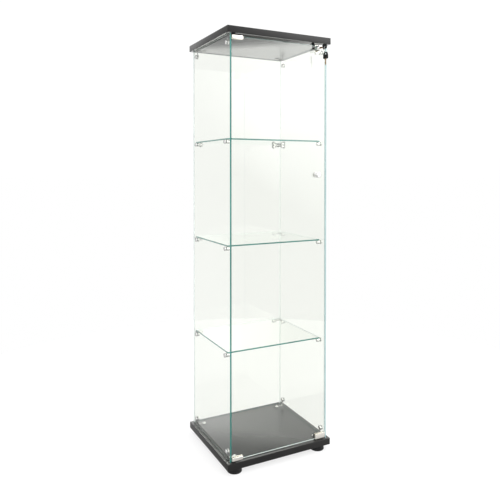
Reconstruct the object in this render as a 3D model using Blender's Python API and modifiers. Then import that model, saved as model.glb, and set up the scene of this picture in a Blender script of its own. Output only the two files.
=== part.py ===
"""Locking glass display case: two laminate boards joined by glass panes, with three loose shelves, a pivoted
glass door, a magnetic catch, a through-bolted knob, and a key lock near the door's top corner.

Run it with blender --background --python part.py, or from Blender's text editor. Dimensions below are in
millimetres and the scene is in metres. +Z is up, the door faces -Y and is hinged on the -X side. The origin is
on the floor at the centre of the whole footprint. The key reaches out in front, so the boards' centre is CASE_Y
behind it.
"""
import math

import bmesh
import bpy
from mathutils import Vector

# Boards and feet
WIDTH, DEPTH, HEIGHT = 430.0, 370.0, 1570.0
BOARD_T = 24.0
FOOT_H, FOOT_R = 20.0, 27.0
FOOT_X, FOOT_Y = 175.0, 155.0
GAP = 0.3               # between pieces that bear on each other

# Glass
PANE_T, SHELF_T = 4.0, 5.0
SIDE_X = 202.0          # outer face of the side panes
GLASS_Y = 176.0         # outer face of the back pane, and of the door
DOOR_GAP = 1.5          # between the door and each side pane
DOOR_LOW, DOOR_HIGH = 49.5, 1537.5
SHELF_TOPS = {"upper": 1183.0, "middle": 803.0, "lower": 423.0}
SHELF_FRONT, SHELF_BACK, SHELF_HALF = -143.0, 169.0, 195.0

# Fixings through the glass
BOLT_R, HOLE_R = 3.0, 3.5
CORNER_Y, CORNER_RISE, CORNER_REACH, LEG_HALF = 144.0, 26.0, 29.0, 2.5
SUPPORT_R, SUPPORT_FRONT_Y, SUPPORT_REACH = 7.0, -135.0, 28.0

# Door hinges
PIVOT_X, PIVOT_Y = -188.0, -174.0
PIVOT_R, PIVOT_BORE_R = 3.4, 3.46
FLANGE_LOW, FLANGE_HIGH = 2.4, 5.4    # how far the bottom and top bushes stand out of their boards
CLAMP_LEFT, CLAMP_RIGHT, CLAMP_H, CHEEK = -195.0, -153.0, 13.0, 4.0

# Knob, catch and lock
KNOB_X, KNOB_Z, KNOB_R = 155.3, 1052.0, 10.0
CATCH_X0, CATCH_X1, CATCH_H = 153.0, 195.5, 21.0
LOCK_X, LOCK_Z, BARREL_R, BARREL_OUT = 165.0, 1527.5, 10.2, 17.0
PLUG_R, PLUG_BORE_R = 5.5, 5.58
NUT_R, CAM_REACH, STRIKE_X, STRIKE_LOW = 11.4, 21.0, (143.0, 153.0), 1524.0

# Keys
KEY_IN, KEY_NECK, KEY_HEAD_L, KEY_HEAD_H, KEY_HEAD_T, KEY_SOFT = 10.0, 12.0, 25.0, 20.5, 4.6, 0.9
EYE_R, EYE_IN, RING_R, WIRE_R, RING_SLACK = 3.4, 6.5, 12.5, 0.9, 0.8
RING_TURN = math.radians(25.0)   # the ring hangs a little askew in the key's eye

SMALL = 12              # sides of the many small discs, bolts and holes
BASE_TOP = FOOT_H + BOARD_T
UNDERSIDE = HEIGHT - BOARD_T
INNER_X = SIDE_X - PANE_T
INNER_Y = GLASS_Y - PANE_T
BARREL_FACE = -GLASS_Y - BARREL_OUT
EYE_Y = BARREL_FACE - KEY_NECK - KEY_HEAD_L + EYE_IN
FRONT_REACH = (-EYE_Y + KEY_HEAD_H / 2 * math.cos(RING_TURN)
               + (KEY_HEAD_T / 2 - KEY_SOFT) * math.sin(RING_TURN))
CASE_Y = (FRONT_REACH - DEPTH / 2) / 2
EYE_DROP = EYE_R - WIRE_R - RING_SLACK     # from an eye's centre to the wire that hangs in it
RING_Z = LOCK_Z - EYE_DROP - RING_R

#            colour                    metallic roughness transmission
FINISHES = {
    "laminate": ((0.030, 0.029, 0.028), 0.0, 0.30, 0.0),
    "glass": ((0.82, 0.93, 0.90), 0.0, 0.03, 1.0),
    "chrome": ((0.80, 0.80, 0.80), 1.0, 0.12, 0.0),
    "steel": ((0.55, 0.55, 0.54), 1.0, 0.35, 0.0),
    "plastic": ((0.020, 0.020, 0.021), 0.0, 0.45, 0.0),
    "brass": ((0.75, 0.60, 0.32), 1.0, 0.30, 0.0),
}
TURN_TO = {"X": (0, math.pi / 2, 0), "Y": (-math.pi / 2, 0, 0), "Z": (0, 0, 0)}


def start():
    """Empties the scene, and makes the two collections, the finishes and one empty on each joint's axis."""
    for obj in list(bpy.data.objects):
        bpy.data.objects.remove(obj)
    for key in ("display_case", "cutters"):
        collection = bpy.data.collections.new(key)
        bpy.context.scene.collection.children.link(collection)
    for key, (colour, metallic, roughness, transmission) in FINISHES.items():
        material = bpy.data.materials.new(key)
        material.use_nodes = True
        shader = material.node_tree.nodes["Principled BSDF"]
        shader.inputs["Base Color"].default_value = (*colour, 1)
        shader.inputs["Metallic"].default_value = metallic
        shader.inputs["Roughness"].default_value = roughness
        shader.inputs["Transmission Weight"].default_value = transmission
    axis_empty("case_axis", None, (0, 0, 0))
    axis_empty("door_axis", "case_axis", (PIVOT_X, PIVOT_Y, 0))
    axis_empty("lock_axis", "door_axis", (LOCK_X, -GLASS_Y, LOCK_Z))
    axis_empty("key_axis", "lock_axis", (LOCK_X, BARREL_FACE, LOCK_Z))
    axis_empty("ring_axis", "key_axis", (LOCK_X, EYE_Y, RING_Z + RING_R))
    spare = axis_empty("spare_axis", "ring_axis", (LOCK_X, EYE_Y, RING_Z - RING_R))
    spare.rotation_euler = (-math.pi / 2, 0, RING_TURN)


def case_point(empty):
    """Where an empty stands, in millimetres from the case's own centre on the floor."""
    return Vector(empty["at"])


def axis_empty(name, parent, at):
    empty = bpy.data.objects.new(name, None)
    bpy.data.collections["display_case"].objects.link(empty)
    empty["at"] = at
    if parent:
        empty.parent = bpy.data.objects[parent]
        empty.location = (Vector(at) - case_point(empty.parent)) / 1000
    else:
        empty.location = (0, CASE_Y / 1000, 0)
    return empty


def add(name, mesh, parent, at, finish, axis="Z"):
    """Object on one of the empties, placed by its location and turned so its own Z runs along axis."""
    obj = bpy.data.objects.new(name, mesh)
    bpy.data.collections["display_case"].objects.link(obj)
    obj.parent = bpy.data.objects[parent]
    obj.location = (Vector(at) - case_point(obj.parent)) / 1000
    obj.rotation_euler = TURN_TO[axis]
    mesh.materials.append(bpy.data.materials[finish])
    return obj


def block(name, xs, ys, zs, finish, parent="case_axis", soft=0.0):
    """Box between pairs of limits given in either order, with its edges softened by a small bevel."""
    spans = [sorted(pair) for pair in (xs, ys, zs)]
    bm = bmesh.new()
    bmesh.ops.create_cube(bm, size=0.001)
    bmesh.ops.scale(bm, vec=[high - low for low, high in spans], verts=bm.verts)
    mesh = bpy.data.meshes.new(name)
    bm.to_mesh(mesh)
    bm.free()
    obj = add(name, mesh, parent, [(low + high) / 2 for low, high in spans], finish)
    if soft:
        soften(obj, soft)
    return obj


def soften(obj, width, segments=1):
    bevel = obj.modifiers.new("Soft edges", "BEVEL")
    bevel.width = width / 1000
    bevel.segments = segments
    bevel.limit_method = "ANGLE"


def rod(name, axis, at, ends, radius, finish, parent="case_axis", sides=SMALL):
    """Cylinder along an axis through at, between two positions on that axis."""
    low, high = sorted(ends)
    bm = bmesh.new()
    bmesh.ops.create_cone(bm, cap_ends=True, segments=sides, radius1=radius / 1000, radius2=radius / 1000,
                          depth=(high - low) / 1000)
    mesh = bpy.data.meshes.new(name)
    bm.to_mesh(mesh)
    bm.free()
    smooth(mesh)
    centre = list(at)
    centre["XYZ".index(axis)] = (low + high) / 2
    return add(name, mesh, parent, centre, finish, axis)


def turned(name, axis, at, profile, finish, parent="case_axis", sides=SMALL):
    """Turned piece: a profile of (position along the axis, radius) pairs, swept round by a Screw modifier."""
    outline = profile if profile[0][0] > profile[-1][0] else profile[::-1]
    points = [(0, outline[0][0])] + [(radius, along) for along, radius in outline] + [(0, outline[-1][0])]
    mesh = bpy.data.meshes.new(name)
    mesh.from_pydata([(r / 1000, 0, z / 1000) for r, z in points],
                     [(i, i + 1) for i in range(len(points) - 1)], [])
    foot = list(at)
    foot["XYZ".index(axis)] = 0
    obj = add(name, mesh, parent, foot, finish, axis)
    screw = obj.modifiers.new("Turn", "SCREW")
    screw.steps = screw.render_steps = sides
    screw.use_merge_vertices = True
    screw.merge_threshold = 0.00001
    screw.use_smooth_shade = False
    return obj


def smooth(mesh):
    mesh.shade_smooth()
    mesh.set_sharp_from_angle(angle=math.radians(30))


def combine(obj, operation, helpers):
    for helper in helpers:
        for collection in list(helper.users_collection):
            collection.objects.unlink(helper)
        bpy.data.collections["cutters"].objects.link(helper)
        helper.hide_render = True
        helper.display_type = "WIRE"
        modifier = obj.modifiers.new(operation.title(), "BOOLEAN")
        modifier.operation = operation
        modifier.solver = "EXACT"
        modifier.object = helper
    return obj


def join(obj, *helpers):
    return combine(obj, "UNION", helpers)


def cut(obj, *helpers):
    return combine(obj, "DIFFERENCE", helpers)


def boards():
    """Top and base boards, each with a blind hole for a pivot bush, and the four round feet."""
    for name, low, mouth, up in (("top_board", UNDERSIDE, UNDERSIDE, 1),
                                 ("base_board", FOOT_H, BASE_TOP, -1)):
        board = block(name, (-WIDTH / 2, WIDTH / 2), (-DEPTH / 2, DEPTH / 2), (low, low + BOARD_T),
                      "laminate", soft=0.8)
        cut(board, rod(name + "_bush_hole", "Z", (PIVOT_X, PIVOT_Y, 0), (mouth - up * 5, mouth + up * 11),
                       6.6, "laminate", sides=32))
    for side, x in (("l", -FOOT_X), ("r", FOOT_X)):
        for end, y in (("f", -FOOT_Y), ("b", FOOT_Y)):
            turned(f"foot_{end}{side}", "Z", (x, y, 0),
                   [(0, FOOT_R - 2), (2, FOOT_R), (FOOT_H - 2, FOOT_R), (FOOT_H - GAP, FOOT_R - 1)],
                   "plastic", sides=32)


def support_z(shelf_top):
    return shelf_top - SHELF_T - GAP - SUPPORT_R


def side_bolt_places():
    """(y, z) of every bolt through a side pane."""
    places = [(y, z) for y in (-CORNER_Y, CORNER_Y)
              for z in (BASE_TOP + CORNER_RISE, UNDERSIDE - CORNER_RISE)]
    for top in SHELF_TOPS.values():
        places += [(y, support_z(top)) for y in (SUPPORT_FRONT_Y, INNER_Y - SUPPORT_REACH)]
    return places


def panes():
    """Side, back and door glass with their drilled holes, and the loose shelves."""
    upright = (BASE_TOP + GAP, UNDERSIDE - GAP)
    for name, side in (("left_pane", -1), ("right_pane", 1)):
        pane = block(name, (side * SIDE_X, side * INNER_X), (-GLASS_Y, INNER_Y - GAP), upright,
                     "glass", soft=0.3)
        for i, (y, z) in enumerate(side_bolt_places()):
            cut(pane, rod(f"{name}_hole_{i}", "X", (0, y, z), (side * (SIDE_X + 2), side * (INNER_X - 2)),
                          HOLE_R, "glass"))
    back = block("back_pane", (-SIDE_X, SIDE_X), (INNER_Y, GLASS_Y), upright, "glass", soft=0.3)
    for level, top in SHELF_TOPS.items():
        for side in (-1, 1):
            at = (side * (INNER_X - SUPPORT_REACH), 0, support_z(top))
            cut(back, rod(f"back_hole_{level}_{side}", "Y", at, (INNER_Y - 2, GLASS_Y + 2), HOLE_R, "glass"))
        block(f"shelf_{level}", (-SHELF_HALF, SHELF_HALF), (SHELF_FRONT, SHELF_BACK), (top - SHELF_T, top),
              "glass", soft=0.5)

    edge = INNER_X - DOOR_GAP
    door = block("door_pane", (-edge, edge), (-GLASS_Y, -INNER_Y), (DOOR_LOW, DOOR_HIGH),
                 "glass", "door_axis", soft=0.3)
    through = (-GLASS_Y - 2, -INNER_Y + 2)
    cut(door,
        rod("knob_hole", "Y", (KNOB_X, 0, KNOB_Z), through, HOLE_R + 0.5, "glass", "door_axis"),
        rod("lock_notch_round", "Y", (LOCK_X, 0, LOCK_Z), through, 8.9, "glass", "door_axis", 32),
        block("lock_notch", (LOCK_X - 8.9, LOCK_X + 8.9), through, (LOCK_Z, DOOR_HIGH + 3),
              "glass", "door_axis"))


def through_bolt(name, axis, at, inner, outer, side):
    """Shank through a pane, with a domed cap on its outer face. side is +1 where outwards is along +axis."""
    profile = [(side * (inner - 2), BOLT_R), (side * (outer + GAP), BOLT_R), (side * (outer + GAP), 8.0),
               (side * (outer + 2.6), 8.0), (side * (outer + 4.0), 5.6)]
    return turned(name, axis, at, profile, "chrome")


def corner_connectors():
    """Angle brackets that tie each side pane to the boards: a disc bolted through the glass, a leg, and a foot
    disc."""
    for level, board_z, up in (("base", BASE_TOP, 1), ("top", UNDERSIDE, -1)):
        for side, sx in (("l", -1), ("r", 1)):
            for end, sy in (("f", -1), ("b", 1)):
                name = f"connector_{level}_{end}{side}"
                y, disc_z = sy * CORNER_Y, board_z + up * CORNER_RISE
                pad, wall, foot_x = board_z + up * GAP, sx * (INNER_X - GAP), sx * (INNER_X - CORNER_REACH)
                edges = (y - LEG_HALF, y + LEG_HALF)
                leg = block(name, (wall, wall - sx * 3), edges, (pad, disc_z), "chrome")
                join(leg,
                     block(name + "_arm", (wall, foot_x), edges, (pad, pad + up * 3), "chrome"),
                     rod(name + "_disc", "X", (0, y, disc_z), (wall, wall - sx * 5), 8.5, "chrome"),
                     turned(name + "_foot", "Z", (foot_x, y, 0),
                            [(pad, 8.5), (pad + up * 4, 8.5), (pad + up * 5, 6.5)], "chrome"),
                     through_bolt(name + "_bolt", "X", (0, y, disc_z), INNER_X, SIDE_X, sx))


def shelf_supports():
    """Front studs on the side panes, and back angles that also tie the side panes to the back pane."""
    for level, top in SHELF_TOPS.items():
        z = support_z(top)
        for side, sx in (("l", -1), ("r", 1)):
            wall = sx * (INNER_X - GAP)
            name = f"support_{level}_f{side}"
            stud = rod(name, "X", (0, SUPPORT_FRONT_Y, z), (wall, wall - sx * 12), SUPPORT_R, "chrome")
            join(stud, through_bolt(name + "_bolt", "X", (0, SUPPORT_FRONT_Y, z), INNER_X, SIDE_X, sx))

            name = f"support_{level}_b{side}"
            disc_y, disc_x, back = INNER_Y - SUPPORT_REACH, sx * (INNER_X - SUPPORT_REACH), INNER_Y - GAP
            band = (z - 0.7, z + SUPPORT_R - 0.7)
            angle = block(name, (wall, wall - sx * 3), (disc_y, back), band, "chrome")
            join(angle,
                 block(name + "_arm", (wall, disc_x), (back - 3, back), band, "chrome"),
                 rod(name + "_side_disc", "X", (0, disc_y, z), (wall, wall - sx * 7), SUPPORT_R, "chrome"),
                 rod(name + "_back_disc", "Y", (disc_x, 0, z), (back - 7, back), SUPPORT_R, "chrome"),
                 through_bolt(name + "_side_bolt", "X", (0, disc_y, z), INNER_X, SIDE_X, sx),
                 through_bolt(name + "_back_bolt", "Y", (disc_x, 0, z), INNER_Y, GLASS_Y, 1))


def hinges():
    """U-shaped glass clamps with a pivot pin, each turning in a flanged bush set in a board."""
    axis_at = (PIVOT_X, PIVOT_Y, 0)
    for level, edge, up, mouth, flange in (("bottom", DOOR_LOW, 1, BASE_TOP, FLANGE_LOW),
                                           ("top", DOOR_HIGH, -1, UNDERSIDE, FLANGE_HIGH)):
        web = edge - up * 2.5
        name = f"hinge_clamp_{level}"
        clamp = block(name, (CLAMP_LEFT, CLAMP_RIGHT), (-GLASS_Y - CHEEK, -INNER_Y + CHEEK),
                      (web, web + up * CLAMP_H), "chrome", "door_axis", soft=0.6)
        cut(clamp, block(name + "_slot", (CLAMP_LEFT - 5, CLAMP_RIGHT + 5), (-GLASS_Y - GAP, -INNER_Y + GAP),
                         (edge - up * GAP, edge + up * 30), "chrome", "door_axis"))
        join(clamp, rod(name + "_pin", "Z", axis_at, (edge - up * 1.0, mouth - up * 9), PIVOT_R,
                        "chrome", "door_axis", 48))
        bush = turned(f"hinge_bush_{level}", "Z", axis_at,
                      [(mouth + up * flange, 7.5), (mouth + up * GAP, 7.5), (mouth + up * GAP, 6.2),
                       (mouth - up * 10.6, 6.2)], "plastic", sides=32)
        cut(bush, rod(f"hinge_bore_{level}", "Z", axis_at, (mouth - up * 9.4, mouth + up * 8), PIVOT_BORE_R,
                      "plastic", sides=48))


def catch_and_knob():
    """Steel plate folded round the door's lower corner, the magnet block it meets, and the pull knob."""
    low = DOOR_LOW - 2.0
    plate = block("catch_plate", (CATCH_X0, CATCH_X1), (-GLASS_Y - 2, -INNER_Y + 2), (low, low + CATCH_H),
                  "steel", "door_axis", soft=0.4)
    cut(plate, block("catch_plate_slot", (CATCH_X0 - 5, CATCH_X1 + 5), (-GLASS_Y - GAP, -INNER_Y + GAP),
                     (DOOR_LOW - GAP, low + 60), "steel", "door_axis"))
    magnet = block("magnet_catch", (CATCH_X0 + 3, CATCH_X1 - 3), (-INNER_Y + 3, -INNER_Y + 17),
                   (BASE_TOP + GAP, BASE_TOP + 17), "plastic", soft=0.8)
    join(magnet, block("magnet_face", (CATCH_X0 + 10, CATCH_X1 - 10), (-INNER_Y + 2.4, -INNER_Y + 6),
                       (BASE_TOP + 5, BASE_TOP + 14), "plastic"))

    at = (KNOB_X, 0, KNOB_Z)
    turned("knob", "Y", at,
           [(-GLASS_Y - 22, KNOB_R - 2.6), (-GLASS_Y - 20.5, KNOB_R - 0.4), (-GLASS_Y - 14, KNOB_R),
            (-GLASS_Y - 11, 6.2), (-GLASS_Y - 4.5, 5.8), (-GLASS_Y - 3.2, KNOB_R - 0.8),
            (-GLASS_Y - GAP, KNOB_R), (-GLASS_Y - GAP, 3.4), (-INNER_Y + 0.8, 3.4)],
           "chrome", "door_axis", 28)
    turned("knob_nut", "Y", at,
           [(-INNER_Y + 1.1, KNOB_R - 0.4), (-INNER_Y + 3.0, KNOB_R - 0.4), (-INNER_Y + 5.0, KNOB_R - 2.4)],
           "chrome", "door_axis", 28)


def lock():
    """Barrel in a notch of the door's top edge, held by a back plate and a ring nut. The cam hangs down when
    the door is free, and turns up to lie behind the strike when it is locked."""
    at, back = (LOCK_X, 0, LOCK_Z), -INNER_Y
    barrel = turned("lock_barrel", "Y", at,
                    [(BARREL_FACE, BARREL_R - 1.2), (BARREL_FACE + 1.2, BARREL_R), (-GLASS_Y - GAP, BARREL_R),
                     (-GLASS_Y - GAP, 8.4), (back + 8.0, 8.4)], "chrome", "door_axis", 32)
    cut(barrel, rod("plug_bore", "Y", at, (BARREL_FACE - 3, back + 12), PLUG_BORE_R,
                    "chrome", "door_axis", 40))
    plate = block("lock_plate", (LOCK_X - 13, LOCK_X + 13), (back + GAP, back + 3.0),
                  (LOCK_Z - 18, LOCK_Z + 13.5), "steel", "door_axis", soft=0.4)
    cut(plate, rod("lock_plate_hole", "Y", at, (back - 2, back + 6), 8.7, "steel", "door_axis", 32))
    nut = turned("lock_nut", "Y", at,
                 [(back + 3.3, NUT_R), (back + 5.7, NUT_R), (back + 6.9, NUT_R - 1.4)],
                 "plastic", "door_axis", 28)
    cut(nut, rod("lock_nut_hole", "Y", at, (back, back + 10), 8.7, "plastic", "door_axis", 32))

    plug = rod("lock_plug", "Y", at, (BARREL_FACE - 1, back + 9), PLUG_R, "brass", "lock_axis", 40)
    join(plug, block("plug_square", (LOCK_X - 3, LOCK_X + 3), (back + 8, back + 13.5),
                     (LOCK_Z - 3, LOCK_Z + 3), "brass", "lock_axis"))
    cut(plug, block("keyway", (LOCK_X - 1.3, LOCK_X + 1.3), (BARREL_FACE - 4, BARREL_FACE + KEY_IN + 1.5),
                    (LOCK_Z - 3.6, LOCK_Z + 3.6), "brass", "lock_axis"))
    leaf = (back + 9.4, back + 11.8)
    cam = rod("lock_cam", "Y", at, leaf, 6.5, "steel", "lock_axis", 24)
    join(cam, block("cam_tongue", (LOCK_X - 4.5, LOCK_X + 4.5), leaf, (LOCK_Z - CAM_REACH, LOCK_Z),
                    "steel", "lock_axis"))
    cut(cam, block("cam_square", (LOCK_X - 3.3, LOCK_X + 3.3), (back + 5, back + 16),
                   (LOCK_Z - 3.3, LOCK_Z + 3.3), "steel", "lock_axis"))

    strike = block("lock_strike", STRIKE_X, (back + 4, back + 6.5), (STRIKE_LOW, UNDERSIDE - GAP), "plastic")
    join(strike, block("strike_foot", STRIKE_X, (back + 4, back + 16), (UNDERSIDE - 2.8, UNDERSIDE - GAP),
                       "plastic"))


def key_pieces(name, empty, eye_y, eye_z, blade):
    """Covered head and flat blade of a key in the YZ plane, with the centre of its eye at eye_y, eye_z and
    its blade towards +Y. They hang on an empty, which turns them with it."""
    shoulder = eye_y - EYE_IN + KEY_HEAD_L + KEY_NECK
    head_at = (LOCK_X, eye_y - EYE_IN + KEY_HEAD_L / 2, eye_z)
    bm = bmesh.new()
    bmesh.ops.create_cone(bm, cap_ends=True, segments=28, radius1=0.001, radius2=0.001,
                          depth=KEY_HEAD_T / 1000)
    bmesh.ops.scale(bm, vec=(KEY_HEAD_H / 2, KEY_HEAD_L / 2, 1), verts=bm.verts)
    mesh = bpy.data.meshes.new(name + "_head")
    bm.to_mesh(mesh)
    bm.free()
    head = add(name + "_head", mesh, empty, head_at, "plastic", "X")
    soften(head, KEY_SOFT)
    inside = shoulder - KEY_NECK - 8
    cut(head,
        rod(name + "_eye", "X", (0, eye_y, eye_z), (LOCK_X - 10, LOCK_X + 10), EYE_R, "plastic", empty, 24),
        block(name + "_pocket", (LOCK_X - 1.2, LOCK_X + 1.2), (inside - GAP, shoulder),
              (eye_z - 3.4, eye_z + 3.4), "plastic", empty))
    block(name + "_blade", (LOCK_X - 0.9, LOCK_X + 0.9), (inside, shoulder + blade),
          (eye_z - 3.1, eye_z + 3.1), "brass", empty)


def keys():
    """The key in the lock, and a spare that hangs from it on a wire ring, blade down."""
    key_pieces("key", "key_axis", EYE_Y, LOCK_Z, KEY_IN)
    bpy.ops.mesh.primitive_torus_add(major_segments=24, minor_segments=6, major_radius=RING_R / 1000,
                                     minor_radius=WIRE_R / 1000, rotation=(math.pi / 2, 0, RING_TURN))
    ring = bpy.context.object
    ring.name = ring.data.name = "key_ring"
    for collection in list(ring.users_collection):
        collection.objects.unlink(ring)
    bpy.data.collections["display_case"].objects.link(ring)
    ring.parent = bpy.data.objects["ring_axis"]
    ring.location = (0, 0, -RING_R / 1000)
    ring.data.materials.append(bpy.data.materials["steel"])
    smooth(ring.data)
    # The spare's empty is on the wire, and its own +Y points down, so its eye lies a little further along +Y.
    low = RING_Z - RING_R
    key_pieces("spare", "spare_axis", EYE_Y + EYE_DROP, low, KEY_IN)


start()
boards()
panes()
corner_connectors()
shelf_supports()
hinges()
catch_and_knob()
lock()
keys()
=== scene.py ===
"""Looks for the locking glass display case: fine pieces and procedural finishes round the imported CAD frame.

Lengths inside this file are in millimetres from the case's own centre on the floor, and place() turns them
into the frame's metres. The door faces -Y, its hinges are on the -X side, and +Z is up.
"""
import math

import bmesh
import bpy
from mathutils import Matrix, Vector


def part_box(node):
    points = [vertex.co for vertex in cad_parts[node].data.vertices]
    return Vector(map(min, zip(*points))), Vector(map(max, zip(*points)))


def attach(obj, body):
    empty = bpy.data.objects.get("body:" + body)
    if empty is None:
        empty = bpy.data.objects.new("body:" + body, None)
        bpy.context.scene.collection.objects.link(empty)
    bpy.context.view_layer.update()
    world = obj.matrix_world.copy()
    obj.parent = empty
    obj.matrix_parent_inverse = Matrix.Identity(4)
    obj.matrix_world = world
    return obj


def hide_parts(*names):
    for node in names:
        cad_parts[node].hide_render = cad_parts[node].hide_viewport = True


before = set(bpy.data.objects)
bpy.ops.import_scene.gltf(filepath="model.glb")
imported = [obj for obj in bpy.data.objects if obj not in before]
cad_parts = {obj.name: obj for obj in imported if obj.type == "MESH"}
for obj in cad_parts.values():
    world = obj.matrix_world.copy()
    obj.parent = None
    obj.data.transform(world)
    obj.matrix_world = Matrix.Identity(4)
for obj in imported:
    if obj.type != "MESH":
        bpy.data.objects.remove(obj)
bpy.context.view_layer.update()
ROW_Y = sum(corner[1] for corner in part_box("base_board")) / 2    # the case's centre in the frame
X, Y, Z = AXES = Vector((1, 0, 0)), Vector((0, 1, 0)), Vector((0, 0, 1))
TURN = 2 * math.pi


def place(point):
    return Vector((point[0] / 1000, point[1] / 1000 + ROW_Y, point[2] / 1000))


def limits(node):
    """A CAD node's lowest and highest corners in case millimetres."""
    return tuple(Vector((x * 1000, (y - ROW_Y) * 1000, z * 1000)) for x, y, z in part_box(node))


def middle(node):
    low, high = limits(node)
    return (low + high) / 2


# Faces of the side panes, the back pane and the door, and the gap that a clamp leaves to its glass.
SIDE_IN, SIDE_OUT = (corner.x for corner in limits("right_pane"))
BACK_IN, BACK_OUT = (corner.y for corner in limits("back_pane"))
DOOR_OUT, DOOR_IN = (corner.y for corner in limits("door_pane"))
GAP = 0.3

# The fittings, whose names end in f or b for front or back, and then l or r for left or right.
CONNECTORS = [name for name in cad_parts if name.startswith("connector_")]
SUPPORTS = [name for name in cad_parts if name.startswith("support_")]
CONNECTOR_R, SUPPORT_R, CAP_R = 8.5, 7.0, 8.0    # discs inside the glass, and the bolt heads outside it
CONNECTOR_BOLT = 8.2                             # from the end of a connector's upright to its bolt
LEG_T, LEG_IN = 2.8, 1.6                         # thickness of a bent strip, and from its wall to its middle
BOLT_HOLE, KNOB_HOLE, LOCK_HOLE, LOCK_NOTCH = 3.5, 4.0, 8.7, 8.9
BUSH_SHANK, BUSH_HOLE, PIVOT_R = 6.2, 6.6, 3.4


# ------------------------------------------------------------------ materials

class Tree:
    """Small helper round the node tree of a material or a world."""

    def __init__(self, owner, output):
        owner.use_nodes = True
        self.owner = owner
        self.nodes = owner.node_tree.nodes
        self.links = owner.node_tree.links
        self.output = self.nodes[output]

    def node(self, kind, **values):
        """New shader node. Each value goes to the input of that name, or else to the node's own setting."""
        made = self.nodes.new("ShaderNode" + kind)
        for key, value in values.items():
            label = key.replace("_", " ")
            if label in made.inputs:
                made.inputs[label].default_value = value
            else:
                setattr(made, key, value)
        return made

    def link(self, source, target):
        self.links.new(source, target)

    def maths(self, operation, *operands, kind="Math"):
        """Maths node, whose operands are sockets or constants."""
        made = self.node(kind, operation=operation)
        for socket, operand in zip(made.inputs, operands):
            if isinstance(operand, bpy.types.NodeSocket):
                self.link(operand, socket)
            else:
                socket.default_value = operand
        return made

    def ramp(self, source, stops):
        """Colour or grey level by a value, from (value, colour) stops."""
        made = self.node("ValToRGB")
        elements = made.color_ramp.elements
        while len(elements) < len(stops):
            elements.new(0.5)
        for element, (position, colour) in zip(elements, stops):
            element.position = position
            element.color = (*colour, 1) if isinstance(colour, tuple) else (colour, colour, colour, 1)
        self.link(source, made.inputs["Fac"])
        return made.outputs["Color"]

    def mix(self, share, first, second):
        """Surface that goes from the first shader to the second as the share rises."""
        made = self.node("MixShader")
        self.link(share, made.inputs["Fac"])
        self.link(first, made.inputs[1])
        self.link(second, made.inputs[2])
        return made.outputs[0]

    def finish(self, surface):
        self.link(surface, self.output.inputs["Surface"])


class Shade(Tree):
    """A new material and its shader."""

    def __init__(self, name):
        super().__init__(bpy.data.materials.new(name), "Material Output")
        self.shader = self.nodes["Principled BSDF"]

    def noise(self, scale, detail, stretch=(1, 1, 1)):
        coords = self.node("TexCoord")
        mapping = self.node("Mapping", Scale=stretch)
        made = self.node("TexNoise", Scale=scale, Detail=detail, Roughness=0.55)
        self.link(coords.outputs["Object"], mapping.inputs["Vector"])
        self.link(mapping.outputs["Vector"], made.inputs["Vector"])
        return made.outputs["Fac"]

    def feed(self, label, source, stops):
        """Drives one input of the shader by a value, through a ramp."""
        self.link(self.ramp(source, stops), self.shader.inputs[label])

    def bump(self, source, strength, distance):
        made = self.node("Bump", Strength=strength, Distance=distance)
        self.link(source, made.inputs["Height"])
        self.link(made.outputs["Normal"], self.shader.inputs["Normal"])

    def set(self, **values):
        for key, value in values.items():
            self.shader.inputs[key.replace("_", " ")].default_value = value


def laminate(name, dark, light, rough, ior):
    """Black melamine: faint cloudy tone, a fine pearl grain in the gloss, and a slight orange-peel bump."""
    shade = Shade(name)
    shade.feed("Base Color", shade.noise(9, 5), [(0.3, dark), (0.7, light)])
    shade.feed("Roughness", shade.noise(25, 3), [(0.3, rough - 0.01), (0.7, rough + 0.02)])
    shade.set(IOR=ior)
    shade.bump(shade.noise(900, 2), 0.004, 0.0002)
    return shade.owner


def metal(name, colour, rough, stretch=(1, 1, 1), scale=400.0, strength=0.05, rim=1.0):
    """Plated or brushed metal with fine wear in its gloss. A rim under 1 paints dark reflections, dimming the
    colour and tint where the surface turns away.
    """
    shade = Shade(name)
    tone = tuple(min(1.0, c * 1.05) for c in colour)
    plating = shade.ramp(shade.noise(70, 3), [(0.25, colour), (0.75, tone)])
    # Painted dark reflection: when rim is under 1, Layer Weight dims the colour and tint towards the rims.
    facing = shade.node("LayerWeight", Blend=0.5).outputs["Facing"]
    turned = shade.ramp(facing, [(0.40, 1.0), (0.80, rim)])
    plating_with_painted_dark_rim = shade.maths("MULTIPLY", plating, turned, kind="VectorMath")
    shade.link(plating_with_painted_dark_rim.outputs[0], shade.shader.inputs["Base Color"])
    shade.link(turned, shade.shader.inputs["Specular Tint"])
    shade.feed("Roughness", shade.noise(scale, 3, stretch), [(0.3, rough * 0.75), (0.75, rough * 1.35)])
    shade.set(Metallic=1.0)
    shade.bump(shade.noise(scale, 3, stretch), strength, 0.0002)
    return shade.owner


def moulded(name, colour, rough, grain=700.0, strength=0.25, specular=0.5):
    """Moulded plastic with spark-eroded grain."""
    shade = Shade(name)
    lighter = tuple(c * 1.6 + 0.004 for c in colour)
    shade.feed("Base Color", shade.noise(40, 4), [(0.35, colour), (0.8, lighter)])
    shade.feed("Roughness", shade.noise(120, 2), [(0.3, rough - 0.06), (0.7, rough + 0.06)])
    shade.set(Specular_IOR_Level=specular)
    shade.bump(shade.noise(grain, 2), strength, 0.0003)
    return shade.owner


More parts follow.
